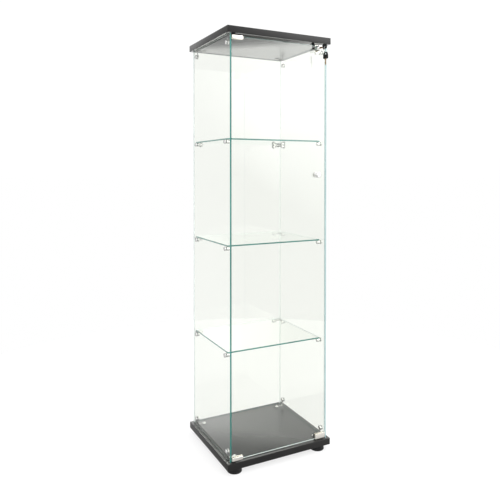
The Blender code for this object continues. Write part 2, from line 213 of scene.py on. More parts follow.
def clear_glass(name, tint, tint_low):
    """Face of a pane: light passes straight through with a faint green-grey tint, and the outer skin reflects
    for both, which is a little over a third more than one skin alone does."""
    shade = Shade(name)
    shade.nodes.remove(shade.shader)
    through = shade.node("BsdfTransparent")
    shade.link(shade.ramp(shade.noise(1.6, 2), [(0.3, tint_low), (0.7, tint)]), through.inputs["Color"])
    gloss = shade.node("BsdfGlossy", Color=(0.96, 0.98, 0.97, 1))
    shade.link(shade.ramp(shade.noise(3.0, 2), [(0.4, 0.004), (0.8, 0.02)]), gloss.inputs["Roughness"])
    both = shade.maths("MULTIPLY", shade.node("Fresnel", IOR=1.5).outputs["Fac"], 1.35)
    both.use_clamp = True
    outer = shade.maths("SUBTRACT", 1.0, shade.node("NewGeometry").outputs["Backfacing"])
    share = shade.maths("MULTIPLY", both.outputs[0], outer.outputs[0])
    shade.finish(shade.mix(share.outputs[0], through.outputs[0], gloss.outputs[0]))
    return shade.owner


def glass_edge(name, deep, pale):
    """Ground and polished edge, where the length of the pane gathers the glass's green. Its paler and darker
    copies paint light and shade.
    """
    shade = Shade(name)
    shade.feed("Base Color", shade.noise(14, 4, (1, 1, 0.25)), [(0.3, deep), (0.72, pale)])
    shade.feed("Roughness", shade.noise(90, 3), [(0.3, 0.10), (0.7, 0.26)])
    shade.set(IOR=1.5)
    shade.bump(shade.noise(260, 2), 0.06, 0.0002)
    return shade.owner


BOARD = laminate("board_face", (0.034, 0.035, 0.034), (0.046, 0.046, 0.044), 0.22, 1.66)
BAND = laminate("board_edge_band", (0.006, 0.0059, 0.0057), (0.013, 0.0125, 0.012), 0.38, 1.38)
SEAM = laminate("edge_band_seam", (0.018, 0.014, 0.011), (0.034, 0.026, 0.019), 0.55, 1.40)
GLASS = clear_glass("pane_face", (0.977, 0.981, 0.968), (0.970, 0.975, 0.960))
EDGE = glass_edge("pane_edge", (0.010, 0.138, 0.116), (0.040, 0.240, 0.206))
# Paler copies of the edge, as painted light where light comes through the glass.
EDGE_FAR_PAINTED_LIGHT = glass_edge("pane_edge_far", (0.74, 0.80, 0.785), (0.83, 0.87, 0.86))
EDGE_RIGHT_PAINTED_LIGHT = glass_edge("pane_edge_right", (0.22, 0.40, 0.41), (0.38, 0.54, 0.55))
# Dark copy of the edge, as painted shade where the glass sits against the black boards.
EDGE_SEATED_PAINTED_SHADE = glass_edge("pane_edge_seated", (0.014, 0.018, 0.016), (0.036, 0.042, 0.038))
# Chrome's rim of 0.10 paints dark reflections round the edges of its fittings.
CHROME_PAINTED_RIM = metal("chrome", (0.80, 0.795, 0.785), 0.10, rim=0.10)
NICKEL = metal("satin_nickel", (0.84, 0.81, 0.75), 0.20, (1, 1, 12), 180)
STEEL = metal("brushed_steel", (0.52, 0.52, 0.51), 0.30, (14, 1, 1), 160, 0.08)
BRASS = metal("key_brass", (0.40, 0.29, 0.19), 0.30, (1, 14, 1), 200, 0.08)
PLUG = metal("plug_nickel_brass", (0.24, 0.20, 0.16), 0.34, (1, 6, 1), 240, 0.06)
PLASTIC = moulded("black_plastic", (0.005, 0.005, 0.0055), 0.46, specular=0.2)
FOOT = moulded("foot_plastic", (0.006, 0.0064, 0.0068), 0.42, 420, 0.35, 0.25)
PAD = moulded("clear_pad", (0.42, 0.44, 0.43), 0.30, 200, 0.1)


# ------------------------------------------------------------------ outlines

def rounded(outline, radius, steps=3, closed=False):
    """The same open or closed outline with its corners replaced by short arcs."""
    points = [Vector(p) for p in outline]
    out = []
    for i, point in enumerate(points):
        if not closed and i in (0, len(points) - 1):
            out.append(point)
            continue
        before, after = points[i - 1] - point, points[(i + 1) % len(points)] - point
        reach = min(radius, before.length * 0.45, after.length * 0.45)
        if reach < 0.02 or before.angle(after) > math.radians(165):
            out.append(point)
            continue
        a, b = point + before.normalized() * reach, point + after.normalized() * reach
        for k in range(steps + 1):
            t = k / steps
            out.append(a * (1 - t) ** 2 + point * 2 * t * (1 - t) + b * t ** 2)
    return out


def arc(radius, steps, start=0.0, sweep=TURN, centre=(0.0, 0.0)):
    """Points round a centre. A full turn leaves out its last point, which is the first one again."""
    angles = [start + sweep * i / steps for i in range(steps if sweep == TURN else steps + 1)]
    return [(centre[0] + radius * math.cos(a), centre[1] + radius * math.sin(a)) for a in angles]


# ------------------------------------------------------------------ mesh tools

def frame_of(along):
    """Two directions across an axis, so that (u, v, along) is right-handed."""
    along = Vector(along).normalized()
    u = (X if abs(along.x) < 0.9 else Y).cross(along).normalized()
    return u, along.cross(u), along


def dress(faces, slot):
    for face in faces:
        face.material_index = slot
        face.smooth = True


def bridge(bm, loops):
    """The faces between each loop of points and the next."""
    faces = []
    for low, high in zip(loops, loops[1:]):
        for i in range(len(low)):
            j = (i + 1) % len(low)
            faces.append(bm.faces.new((low[i], low[j], high[j], high[i])))
    return faces


def turned(bm, at, along, path, sides):
    """Loops of points round an axis, one for each (radius, position along) of the path."""
    u, v, along = frame_of(along)
    spokes = [u * x + v * y for x, y in arc(1.0, sides)]
    return [[bm.verts.new(Vector(at) + along * p.y + spoke * p.x) for spoke in spokes] for p in path]


def lathe(bm, at, along, profile, soft, sides=40, slot=0):
    """Closed turned solid. profile is (position along, radius) pairs, its ends drawn in to the axis."""
    path = [(0, profile[0][0])] + [(radius, position) for position, radius in profile] + [(0, profile[-1][0])]
    path = rounded(path, soft)
    loops = turned(bm, at, along, path[1:-1], sides)
    tips = [bm.verts.new(Vector(at) + Vector(along).normalized() * p.y) for p in (path[0], path[-1])]
    faces = bridge(bm, loops)
    for i in range(sides):
        j = (i + 1) % sides
        faces.append(bm.faces.new((tips[0], loops[0][j], loops[0][i])))
        faces.append(bm.faces.new((tips[1], loops[-1][i], loops[-1][j])))
    dress(faces, slot)


def ring(bm, at, along, profile, soft=0.2, sides=40):
    """Closed turned solid with a bore: the profile is a closed loop of (position along, radius) pairs."""
    loops = turned(bm, at, along, rounded([(radius, p) for p, radius in profile], soft, closed=True), sides)
    dress(bridge(bm, loops + loops[:1]), 0)


def prism(bm, outline, at, u, v, depth, soft):
    """Closed plate: an outline in the u, v directions from at, pushed along depth, with its rims softened."""
    low = [bm.verts.new(Vector(at) + u * p[0] + v * p[1]) for p in outline]
    high = [bm.verts.new(vert.co + Vector(depth)) for vert in low]
    ends = [bm.faces.new(low[::-1]), bm.faces.new(high)]
    rims = list(ends[0].edges) + list(ends[1].edges)
    dress(ends + bridge(bm, [low, high]), 0)
    if soft:
        made = bmesh.ops.bevel(bm, geom=rims, offset=soft, segments=2, affect="EDGES", profile=0.5)
        dress(made["faces"], 0)


def box_solid(bm, low, high, soft, segments=2, slot=0):
    """Closed box with all its edges rounded."""
    low, high = Vector(low), Vector(high)
    made = bmesh.ops.create_cube(bm, size=1)["verts"]
    for vert in made:
        vert.co = (low + high) / 2 + vert.co * (high - low)
    faces = dict.fromkeys(face for vert in made for face in vert.link_faces)
    dress(faces, slot)
    if soft:
        edges = list(dict.fromkeys(edge for face in faces for edge in face.edges))
        rounds = bmesh.ops.bevel(bm, geom=edges, offset=soft, segments=segments, affect="EDGES", profile=0.5)
        dress(rounds["faces"], slot)


def strip(bm, path, across, width, thick, bend):
    """Flat bar bent along a path, with rounded bends and its ends drawn in a little."""
    points = rounded(path, bend, steps=5)
    loops = []
    for i, point in enumerate(points):
        ahead = (points[min(i + 1, len(points) - 1)] - points[max(i - 1, 0)]).normalized()
        out = ahead.cross(across).normalized() * thick / 2
        trim = 0.35 if i in (0, len(points) - 1) else 0.0
        corners = [across * width / 2 * k + out * m for k, m in ((-1, -1), (1, -1), (1, 1), (-1, 1))]
        loops.append([bm.verts.new(point + corner - corner.normalized() * trim) for corner in corners])
    ends = [bm.faces.new(loops[0][::-1]), bm.faces.new(loops[-1])]
    dress(ends + bridge(bm, loops), 0)


def mesh_object(name, bm):
    """The object of a bmesh that is in case millimetres, with its faces turned outwards."""
    for vert in bm.verts:
        vert.co = place(vert.co)
    bmesh.ops.recalc_face_normals(bm, faces=bm.faces)
    mesh = bpy.data.meshes.new(name)
    bm.to_mesh(mesh)
    bm.free()
    obj = bpy.data.objects.new(name, mesh)
    bpy.context.scene.collection.objects.link(obj)
    return obj


def piece(name, bm, body, finish, nodes, crease=35):
    """A finished piece on a body, standing for the CAD nodes named. Edges over crease degrees look sharp."""
    obj = mesh_object(name, bm)
    obj.data.set_sharp_from_angle(angle=math.radians(crease))
    for material in finish:
        obj.data.materials.append(material)
    return settle(obj, body, nodes)


def settle(obj, body, nodes):
    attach(obj, body)
    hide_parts(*nodes)
    return obj


def cut(obj, bm):
    """Takes a closed bmesh away from a piece, and keeps the result as the piece's mesh."""
    cutter = mesh_object("cutter", bm)
    modifier = obj.modifiers.new("cut", "BOOLEAN")
    modifier.operation = "DIFFERENCE"
    modifier.solver = "EXACT"
    modifier.use_self = True
    modifier.object = cutter
    bpy.context.view_layer.update()
    result = bpy.data.meshes.new_from_object(obj.evaluated_get(bpy.context.evaluated_depsgraph_get()))
    obj.modifiers.remove(modifier)
    old, obj.data = obj.data, result
    result.name = old.name
    bpy.data.objects.remove(cutter)
    bpy.data.meshes.remove(old)


def drill(obj, holes):
    """Cuts round holes, each (centre, axis, half length, radius)."""
    bm = bmesh.new()
    for centre, along, half, radius in holes:
        u, v, along = frame_of(along)
        prism(bm, arc(radius, 28), Vector(centre) - along * half, u, v, along * half * 2, soft=0)
    cut(obj, bm)


# ------------------------------------------------------------------ boards and feet

def board(node, mouth_up):
    """Faced panel: laminate on top and bottom, edge band round its sides, a thin dark seam between them, and
    a hole for the hinge bush, from its top or from underneath."""
    low, high = limits(node)
    bm = bmesh.new()
    box_solid(bm, low, high, soft=0.8, segments=3)
    flat = [face for face in bm.faces if abs(face.normal.z) > 0.99]
    for face in bm.faces:
        face.material_index = 0 if face in flat else 1
    seam = bmesh.ops.inset_individual(bm, faces=flat, thickness=0.35, depth=0.0)
    for face in seam["faces"]:
        face.material_index = 2
    obj = piece(node + "_panel", bm, "case", [BOARD, BAND, SEAM], [node])
    pivot = middle("hinge_bush_bottom")
    drill(obj, [((pivot.x, pivot.y, high.z if mouth_up else low.z), Z, 11.0, BUSH_HOLE)])


def feet():
    for node in ("foot_fl", "foot_fr", "foot_bl", "foot_br"):
        low, high = limits(node)
        centre = (low + high) / 2
        radius = (high.x - low.x) / 2
        bm = bmesh.new()
        # Tapered puck with a lip at the floor, ribs round its wall, and a screw well underneath.
        lathe(bm, (centre.x, centre.y, 0), Z,
              [(5.5, 4.0), (5.5, 6.5), (0.0, 6.6), (0.0, radius - 3.0), (1.2, radius - 0.6), (4.0, radius),
               (6.0, radius - 0.8), (13.5, radius - 1.0), (15.5, radius - 0.3), (18.2, radius - 0.8),
               (high.z, radius - 2.4)], soft=0.9, sides=64)
        lathe(bm, (centre.x, centre.y, 0), Z, [(5.7, 4.6), (4.2, 4.4), (3.8, 3.2)],
              soft=0.3, sides=24, slot=1)
        piece(node + "_glide", bm, "case", [FOOT, STEEL], [node])


# ------------------------------------------------------------------ glass

PANE_FINISH = [GLASS, EDGE, EDGE_FAR_PAINTED_LIGHT, EDGE_SEATED_PAINTED_SHADE, EDGE_RIGHT_PAINTED_LIGHT]
# Edge finish by side: far and right are painted light, seated is painted shade.
SIDE_FINISH = {"clear": 0, "far": 2, "seated": 3, "right": 4}
BOARD_SIDES = ((2, 1), (2, -1))


def pane(node, axis, body, holes=(), notch=None, corner=0.0, soft=0.45, **finishes):
    """Sheet of glass with arrised edges, square to an axis. Its faces are clear and its edges green, apart
    from the sides named as far or right, which get a paler edge as painted light where light comes through,
    as seated, which touch a black board and get a dark edge as painted shade, and as clear. A side is (axis,
    sign)."""
    low, high = limits(node)
    u, v = (AXES[k] for k in range(3) if k != axis)
    across = AXES[axis]
    wide, tall, thick = ((high - low).dot(direction) for direction in (u, v, across))
    outline = [(0, 0), (wide, 0), (wide, tall), (0, tall)]
    if notch:
        x, z, radius = notch
        centre = (x - low.dot(u), z - low.dot(v))
        bow = arc(radius, 20, 0.0, -TURN / 2, centre)
        outline[3:3] = [(centre[0] + radius, tall), *bow, (centre[0] - radius, tall)]
    if corner:
        outline = rounded(outline, corner, 6, closed=True)
    bm = bmesh.new()
    prism(bm, outline, low, u, v, across * thick, soft)
    obj = piece(node + "_glass", bm, body, PANE_FINISH, [node], crease=20)
    if holes:
        drill(obj, [(centre, across, 8.0, radius) for centre, radius in holes])
    for polygon in obj.data.polygons:
        normal = polygon.normal
        polygon.material_index = 0 if abs(normal[axis]) > 0.999 else 1
        for side, finish in SIDE_FINISH.items():
            if polygon.material_index and any(normal[k] * sign > 0.6 for k, sign in finishes.get(side, ())):
                polygon.material_index = finish
        polygon.use_smooth = False


def side_of(name):
    return 1 if name.endswith("r") else -1


def side_bolt(name):
    """(y, z) of the bolt that holds a fitting to its side pane."""
    low, high = limits(name)
    if name in CONNECTORS:
        return (low.y + high.y) / 2, (high.z - CONNECTOR_BOLT if "_base_" in name else low.z + CONNECTOR_BOLT)
    return (low.y + SUPPORT_R if name[-2] == "b" else (low.y + high.y) / 2), (low.z + high.z) / 2


def back_bolt(name):
    """x of the bolt that holds a rear support to the back pane."""
    side = side_of(name)
    return limits(name)[0 if side > 0 else 1].x + side * CAP_R


def glass():
    for side, node in ((-1, "left_pane"), (1, "right_pane")):
        holes = [((middle(node).x, *side_bolt(name)), BOLT_HOLE)
                 for name in CONNECTORS + SUPPORTS if side_of(name) == side]
        pane(node, 0, "case", holes, far=((1, 1),), seated=BOARD_SIDES, right=((1, -1),) if side > 0 else ())
    holes = [((back_bolt(name), middle("back_pane").y, side_bolt(name)[1]), BOLT_HOLE)
             for name in SUPPORTS if name[-2] == "b"]
    pane("back_pane", 1, "case", holes, far=((0, -1), (0, 1)), seated=BOARD_SIDES)
    knob_at, lock_at = middle("knob_nut"), middle("lock_nut")
    pane("door_pane", 1, "door", [((knob_at.x, middle("door_pane").y, knob_at.z), KNOB_HOLE)],
         notch=(lock_at.x, lock_at.z, LOCK_NOTCH), far=((2, -1),), clear=((2, 1),), right=((0, 1),))
    for level in ("upper", "middle", "lower"):
        pane(f"shelf_{level}", 2, "case", corner=4.0, soft=1.1, far=((0, 1), (1, 1)))


# ------------------------------------------------------------------ fittings on the glass

def cap(bm, at, out):
    """Domed bolt head on the outer face of a pane, with a round socket and a clear washer under it."""
    lathe(bm, at, out, [(0.32, 5.2), (0.32, CAP_R + 0.1), (0.9, CAP_R + 0.1)], soft=0.1, slot=1)
    lathe(bm, at, out, [(-4.4, 2.9), (0.9, 2.9), (0.9, CAP_R), (2.2, CAP_R - 0.2), (3.6, CAP_R - 1.8),
                        (4.0, 3.0), (3.9, 2.4), (2.6, 2.2)], soft=0.6)


def inner_disc(bm, at, out, radius, depth):
    """Round boss against the inner face of a pane: a rim, a groove and a domed middle with a socket."""
    lathe(bm, at, out,
          [(0.0, radius - 0.4), (0.5, radius), (depth - 1.2, radius), (depth - 0.2, radius - 1.3),
           (depth - 0.9, radius - 2.3), (depth, radius - 3.4), (depth, 2.4), (depth - 1.4, 2.1)], soft=0.35)


def connectors():
    """Angle fittings between the side panes and the boards."""
    for node in CONNECTORS:
        low, high = limits(node)
        side, up = side_of(node), 1 if "_base_" in node else -1
        y, bolt_z = side_bolt(node)
        wall = side * (SIDE_IN - GAP)
        pad = low.z if up > 0 else high.z
        leg_x, leg_z = wall - side * LEG_IN, pad + up * LEG_IN
        foot_x = (low.x if side > 0 else high.x) + side * CONNECTOR_R
        bm = bmesh.new()
        strip(bm, [(leg_x, y, bolt_z - up * 2), (leg_x, y, leg_z), (foot_x + side * 3, y, leg_z)],
              Y, 5.0, LEG_T, bend=4.0)
        inner_disc(bm, (wall, y, bolt_z), X * -side, CONNECTOR_R, 5.0)
        cap(bm, (side * SIDE_OUT, y, bolt_z), X * side)
        lathe(bm, (foot_x, y, pad), Z * up,
              [(0.0, CONNECTOR_R - 0.3), (0.4, CONNECTOR_R), (3.0, CONNECTOR_R), (4.6, 6.8), (5.0, 5.2),
               (5.0, 3.0), (3.6, 2.4)], soft=0.5)
        piece(node + "_fitting", bm, "case", [CHROME_PAINTED_RIM, PAD], [node])


def supports():
    """Shelf studs at the front, and angles that also hold the back pane at the rear."""
    for node in SUPPORTS:
        side = side_of(node)
        y, z = side_bolt(node)
        wall, back = side * (SIDE_IN - GAP), BACK_IN - GAP
        bm = bmesh.new()
        cap(bm, (side * SIDE_OUT, y, z), X * side)
        if node[-2] == "f":
            lathe(bm, (wall, y, z), X * -side,
                  [(0.0, 6.6), (0.5, SUPPORT_R), (4.0, SUPPORT_R), (4.6, 6.3), (5.6, 6.3), (6.2, SUPPORT_R),
                   (10.6, SUPPORT_R), (12.0, 5.6), (12.0, 2.4), (10.4, 2.1)], soft=0.3)
        else:
            leg_x, leg_y, leg_z = wall - side * LEG_IN, back - LEG_IN, z + 2.8
            disc_x = back_bolt(node)
            strip(bm, [(leg_x, y, leg_z), (leg_x, leg_y, leg_z), (disc_x, leg_y, leg_z)],
                  Z, 6.6, LEG_T, bend=5.0)
            inner_disc(bm, (wall, y, z), X * -side, SUPPORT_R, 7.0)
            inner_disc(bm, (disc_x, back, z), -Y, SUPPORT_R, 7.0)
            cap(bm, (disc_x, BACK_OUT, z), Y)
        piece(node + "_fitting", bm, "case", [CHROME_PAINTED_RIM, PAD], [node])


# ------------------------------------------------------------------ door furniture

def channel(bm, node, top, bottom, edge, soft):
    """Folded channel round an edge of the door glass, open at top and closed at bottom."""
    low, high = limits(node)
    section = [(low.y, top), (low.y, bottom), (high.y, bottom), (high.y, top), (DOOR_IN + GAP, top),
               (DOOR_IN + GAP, edge), (DOOR_OUT - GAP, edge), (DOOR_OUT - GAP, top)]
    prism(bm, rounded(section, soft, 4, closed=True), (low.x, 0, 0), Y, Z, X * (high.x - low.x), soft=0.35)


def hinges():
    """Clamps on the door's left corners, each with a pivot pin, and the bushes that the pins turn in."""
    for level, up in (("bottom", 1), ("top", -1)):
        node = f"hinge_clamp_{level}"
        low, high = limits(node)
        pivot = middle(f"hinge_bush_{level}")
        edge = limits("door_pane")[0 if up > 0 else 1].z
        web = edge - up * 2.5
        reach = web + up * 13.0
        bm = bmesh.new()
        channel(bm, node, reach, web, edge - up * GAP, soft=1.4)
        for x in (low.x + 11.0, high.x - 11.0):
            lathe(bm, (x, high.y, (web + reach) / 2 + up * 0.6), Y,
                  [(-1.5, 2.6), (0.35, 2.6), (0.35, 1.5), (-0.6, 1.3)], soft=0.15, sides=24, slot=1)
        lathe(bm, (pivot.x, pivot.y, web), Z * -up,
              [(-0.8, 4.6), (0.5, 4.6), (0.5, PIVOT_R), (11.0, PIVOT_R), (12.0, 2.4)], soft=0.2, slot=1)
        piece(node + "_channel", bm, "door", [NICKEL, STEEL], [node])

        node = f"hinge_bush_{level}"
        low, high = limits(node)
        mouth = limits("base_board")[1].z if up > 0 else limits("top_board")[0].z
        stand = abs((high.z if up > 0 else low.z) - mouth)
        bore = PIVOT_R + 0.06
        bm = bmesh.new()
        ring(bm, (pivot.x, pivot.y, mouth), Z * up,
             [(-10.6, bore), (-10.6, BUSH_SHANK), (0.3, BUSH_SHANK), (0.3, 7.5), (stand - 0.6, 7.5),
              (stand, 6.8), (stand, bore)])
        piece(node + "_collar", bm, "case", [PLASTIC], [node])


def catch():
    """Steel plate folded over the door's lower right corner, and the magnet catch behind it."""
    low, high = limits("catch_plate")
    bm = bmesh.new()
    channel(bm, "catch_plate", high.z, low.z, limits("door_pane")[0].z - GAP, soft=1.0)
    piece("catch_plate_fold", bm, "door", [NICKEL], ["catch_plate"])

    low, high = limits("magnet_catch")
    bm = bmesh.new()
    box_solid(bm, (low.x, low.y + 0.6, low.z), high, soft=1.0, segments=3)
    for z in (low.z + 6.2, low.z + 11.4):
        box_solid(bm, (low.x + 7, low.y, z - 1.0), (high.x - 7, low.y + 4, z + 1.0), soft=0.25, slot=1)
    for x in (low.x + 3.2, high.x - 3.2):
        lathe(bm, (x, (low.y + high.y) / 2, high.z), Z, [(-2.0, 2.4), (0.0, 2.4), (0.5, 1.6), (0.0, 0.9)],
              soft=0.2, sides=20, slot=1)
    piece("magnet_catch_case", bm, "case", [PLASTIC, STEEL], ["magnet_catch"])


def knob():
    """Round pull on a waisted stem, and the screw that holds it through the glass."""
    low, high = limits("knob")
    centre, wide = (low + high) / 2, (high.z - low.z) / 2
    bm = bmesh.new()
    lathe(bm, (centre.x, DOOR_OUT, centre.z), -Y,
          [(-4.8, 3.4), (0.3, 3.4), (0.3, wide - 0.3), (1.2, wide), (3.0, wide - 0.7), (4.2, 6.4),
           (6.5, 5.6), (10.5, 5.9), (13.6, wide - 0.6), (15.5, wide), (19.4, wide), (21.4, wide - 1.7),
           (22.0, wide - 4.1), (21.7, wide - 6.0)], soft=1.1, sides=64)
    piece("knob_grip", bm, "door", [CHROME_PAINTED_RIM], ["knob"])

    low, high = limits("knob_nut")
    wide = (high.z - low.z) / 2
    bm = bmesh.new()
    lathe(bm, (centre.x, low.y, centre.z), Y,
          [(0.0, wide - 0.6), (0.4, wide), (1.8, wide), (3.2, wide - 1.4), (4.0, wide - 3.4), (4.0, 2.6),
           (2.8, 2.2)], soft=0.5, sides=56)
    piece("knob_back_screw", bm, "door", [CHROME_PAINTED_RIM], ["knob_nut"])


def lock():
    """Key lock in the notch of the door: barrel, plate, ring nut, plug and cam, and the strike it holds."""
    low, high = limits("lock_barrel")
    x, z = (low.x + high.x) / 2, (low.z + high.z) / 2
    bm = bmesh.new()
    # Stepped barrel: a rim round the plug, a shallow groove behind it, then the shank through the glass.
    ring(bm, (x, low.y, z), Y, [(0.0, 5.6), (0.0, 8.2), (0.7, 9.2), (2.0, 10.2), (6.0, 10.2), (6.5, 9.5),
                                (7.3, 9.5), (7.8, 10.2), (16.7, 10.2), (16.7, 8.4), (29.0, 8.4), (29.0, 5.6)],
         soft=0.3, sides=56)
    piece("lock_barrel_body", bm, "door", [CHROME_PAINTED_RIM], ["lock_barrel"])

    low, high = limits("lock_plate")
    half, tall = (high.x - low.x) / 2, high.z - low.z
    outline = [(-half, tall), *arc(half, 24, TURN / 2, TURN / 2, (0.0, half)), (half, tall)]
    bm = bmesh.new()
    prism(bm, outline, ((low.x + high.x) / 2, low.y, low.z), X, Z, Y * (high.y - low.y), soft=0.4)
    plate = piece("lock_plate_shield", bm, "door", [NICKEL], ["lock_plate"])
    drill(plate, [((x, low.y, z), Y, 6.0, LOCK_HOLE)])

    # Ring nut with a knurl of small ribs.
    low, high = limits("lock_nut")
    depth = high.y - low.y
    bm = bmesh.new()
    ring(bm, (x, low.y, z), Y, [(0.0, LOCK_HOLE), (0.0, 11.1), (0.5, 11.4), (depth - 1.2, 11.4),
                                (depth, 10.2), (depth, LOCK_HOLE)], sides=56)
    for out_x, out_z in arc(10.9, 20):
        box_solid(bm, (x + out_x - 0.35, low.y + 0.7, z + out_z - 0.35),
                  (x + out_x + 0.35, high.y - 1.3, z + out_z + 0.35), soft=0.1, segments=1)
    piece("lock_nut_ring", bm, "door", [PLASTIC], ["lock_nut"])

    # Plug with a square tail for the cam, and the keyway cut into its face.
    low, high = limits("lock_plug")
    bm = bmesh.new()
    prism(bm, arc(5.5, 48), (x, low.y, z), X, Z, Y * (high.y - low.y - 4.5), soft=0.35)
    box_solid(bm, (x - 3, high.y - 6, z - 3), (x + 3, high.y, z + 3), soft=0.4)
    plug = piece("lock_plug_core", bm, "lock_cylinder", [PLUG], ["lock_plug"])
    keyway = bmesh.new()
    box_solid(keyway, (x - 1.3, low.y - 4, z - 3.6), (x + 1.3, low.y + 17.5, z + 3.6), soft=0)
    cut(plug, keyway)

    low, high = limits("lock_cam")
    hub = arc(6.5, 24, math.radians(-35), math.radians(250))
    tip = arc(4.5, 10, TURN / 2, TURN / 2, (0.0, low.z - z + 4.5))
    bm = bmesh.new()
    prism(bm, hub + tip, (x, low.y, z), X, Z, Y * (high.y - low.y), soft=0.3)
    lathe(bm, (x, high.y - 0.3, z), Y, [(0.0, 3.2), (1.3, 3.2), (1.6, 2.2)], soft=0.2, sides=24)
    piece("lock_cam_leaf", bm, "lock_cylinder", [STEEL], ["lock_cam"])

    # Strike: an angle under the top board, with one screw.
    low, high = limits("lock_strike")
    x, leaf = (low.x + high.x) / 2, 1.25
    bm = bmesh.new()
    strip(bm, [(x, low.y + leaf, low.z), (x, low.y + leaf, high.z - leaf), (x, high.y, high.z - leaf)],
          X, high.x - low.x, 2 * leaf, bend=2.5)
    lathe(bm, (x, high.y - 4.6, high.z - 2.3), -Z, [(0.0, 3.0), (0.9, 2.6), (1.3, 1.4), (0.8, 0.9)],
          soft=0.2, sides=24, slot=1)
    piece("lock_strike_angle", bm, "case", [PLASTIC, STEEL], ["lock_strike"])


# ------------------------------------------------------------------ keys

HEAD_L, HEAD_T, EYE_IN, EYE_R = 25.0, 4.6, 6.5, 3.4
# Half of the head's outline, from the middle of its eye end to the middle of its blade end.
HEAD_SIDE = ((-12.5, 0.0), (-12.5, 4.6), (-10.4, 7.4), (-6.4, 9.0), (0.0, 9.85), (8.6, 9.95), (12.4, 8.7),
             (12.0, 3.6), (12.0, 0.0))
HEAD_PANEL = ((-1.4, -6.6), (9.8, -7.4), (9.8, 7.4), (-1.4, 6.6))
BLADE_HALF, BLADE_T = 3.1, 1.8
BLADE_CUTS, CUT_PITCH = (1.0, 2.1, 0.7, 1.7, 2.3), 2.6
WIRE_R, RING_TURNS, RING_STEPS = 0.43, 1.92, 96


def key(prefix, body, eye, along, across, reach):
    """Key with a moulded head and a milled blade. along runs from the eye to the tip, reach long, and across
    is square to the flat of the head."""
    up = along.cross(across).normalized()
    centre = eye + along * (HEAD_L / 2 - EYE_IN)
    edge = rounded(HEAD_SIDE, 2.6, 5)
    outline = [(p.x, p.y) for p in edge[:-1]] + [(p.x, -p.y) for p in edge[-2:0:-1]]
    bm = bmesh.new()
    prism(bm, outline, centre - across * (HEAD_T / 2 - 0.3), along, up, across * (HEAD_T - 0.6), soft=0.9)
    for sign in (-1, 1):
        # A raised panel with rounded ends lies below the eye on both faces.
        prism(bm, rounded(HEAD_PANEL, 2.2, 5, closed=True), centre + across * sign * (HEAD_T / 2 - 1.0),
              along, up, across * sign * 1.0, soft=0.15)
    head = piece(prefix + "_head_cover", bm, body, [PLASTIC], [prefix + "_head"])
    drill(head, [(eye, across, 8.0, EYE_R)])

    # Blade: its shoulders at the neck, a slightly narrower shank, a tip, and the cuts back from the tip.
    neck, back, front = HEAD_L - EYE_IN, -BLADE_HALF, BLADE_HALF
    outline = [(neck - 8.0, back), (neck + 2.5, back), (neck + 3.2, back + 0.5), (reach - 2.0, back + 0.5),
               (reach, -0.7), (reach, 0.5), (reach - 1.8, 2.0)]
    for i, depth in enumerate(BLADE_CUTS):
        at = reach - 4.0 - i * CUT_PITCH
        outline += [(at + 0.5, front - depth), (at - 0.5, front - depth), (at - 1.3, front - 0.3)]
    outline += [(neck + 2.5, front), (neck - 8.0, front)]
    bm = bmesh.new()
    prism(bm, outline, eye - across * BLADE_T / 2, along, up, across * BLADE_T, soft=0.12)
    blade = piece(prefix + "_blade_brass", bm, body, [BRASS], [prefix + "_blade"])
    grooves = bmesh.new()
    for sign, shift in ((-1, 0.2), (1, -1.1)):
        at = eye + along * (neck + 3) + across * sign * 0.5 + up * shift
        prism(grooves, [(0, -0.4), (reach, -0.4), (reach, 0.4), (0, 0.4)], at, along, up,
              across * sign * 2.0, soft=0)
    cut(blade, grooves)


def keys():
    """The key in the lock, the split ring through its eye, and the spare key that hangs from the ring."""
    eye = middle("key_head")
    eye.y = limits("key_head")[0].y + EYE_IN
    key("key", "key", eye, Y, X, limits("key_blade")[1].y - eye.y)

    facing = math.radians(25.0)
    across = Vector((math.cos(facing), math.sin(facing), 0))
    eye = middle("spare_head")
    eye.z = limits("spare_head")[1].z - EYE_IN
    key("spare", "spare_key", eye, -Z, across, eye.z - limits("spare_blade")[0].z)

    # Split ring: two touching turns of wire, in the plane the CAD ring lies in.
    low, high = limits("key_ring")
    centre, radius = (low + high) / 2, (high.z - low.z) / 2 - 0.9
    normal = Z.cross(across)
    curve = bpy.data.curves.new("key_ring_wire", "CURVE")
    curve.dimensions = "3D"
    curve.bevel_depth = WIRE_R / 1000
    curve.bevel_resolution = 3
    curve.use_fill_caps = True
    spline = curve.splines.new("POLY")
    spline.points.add(RING_STEPS)
    for i, (x, z) in enumerate(arc(radius, RING_STEPS, TURN / 4, TURN * RING_TURNS)):
        shift = 0.9 * (i / RING_STEPS - 0.5)
        spline.points[i].co = (*place(centre + across * x + Z * z + normal * shift), 1)
    wire = bpy.data.objects.new("key_ring_wire", curve)
    bpy.context.scene.collection.objects.link(wire)
    curve.materials.append(STEEL)
    settle(wire, "ring", ["key_ring"])


# ------------------------------------------------------------------ set

# What the gloss of the boards and fittings shows: a direction, the cosines where a patch starts and is full,
# and how bright it is. In turn, the unlit room behind the camera, a white wall low behind the case, a softbox
# high to the right of the camera, and a window high behind the case.
STUDIO_PATCHES = (
    ((-0.452, -0.892, 0.0), 0.80, 0.97, 0.23),
    ((0.41, 0.82, -0.40), 0.95, 0.985, 1.8),
    ((0.6725, -0.6725, 0.309), 0.90, 0.99, 4.6),
    ((0.08, 0.905, 0.42), 0.899, 0.978, 2.1),
)
